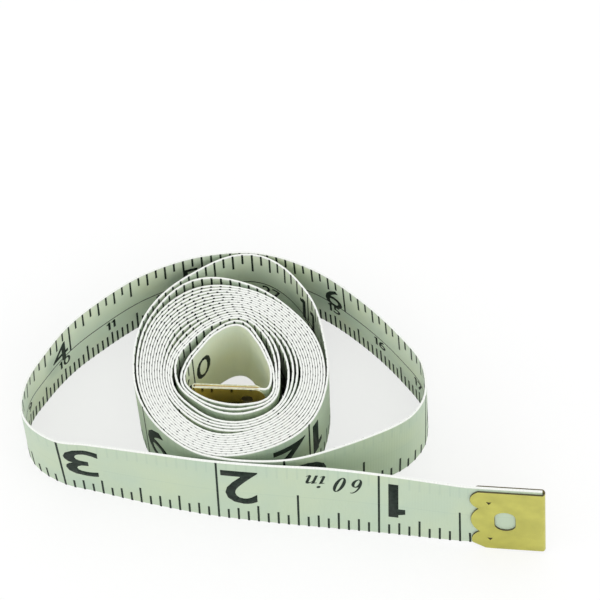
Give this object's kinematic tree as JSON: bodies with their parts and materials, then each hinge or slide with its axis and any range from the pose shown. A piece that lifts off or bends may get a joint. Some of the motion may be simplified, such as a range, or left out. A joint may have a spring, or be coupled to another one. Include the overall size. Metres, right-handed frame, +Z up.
{
  "type": "tape measure",
  "caption": "Soft cloth tape measure standing on edge: a wound coil with a loose outer loop, a free end that swings out, and a folded brass tip with a slotted hole on each end.",
  "frame": {"origin": "middle of the footprint, on the surface that the tape's lower edge stands on", "axes": "+X from the coil towards the free end's tip, +Y from the free end back over the coil, +Z up along the tape's width"},
  "size_m": [0.0846, 0.042, 0.0162],
  "materials": {
    "cloth": "satin",
    "tip_brass": "satin"
  },
  "bodies": {
    "coil": {"tape_coil": "cloth", "tape_outer_loop": "cloth", "inner_tip": "tip_brass"},
    "free_end": {"tape_free_end": "cloth", "outer_tip": "tip_brass"}
  },
  "joints": [
    {"name": "free_end_swing", "type": "hinge", "parent": "coil", "child": "free_end", "pos_m": [-0.0421, -0.01227, 0.008], "axis": [0, 0, 1], "range_deg": [-45, 0]}
  ]
}
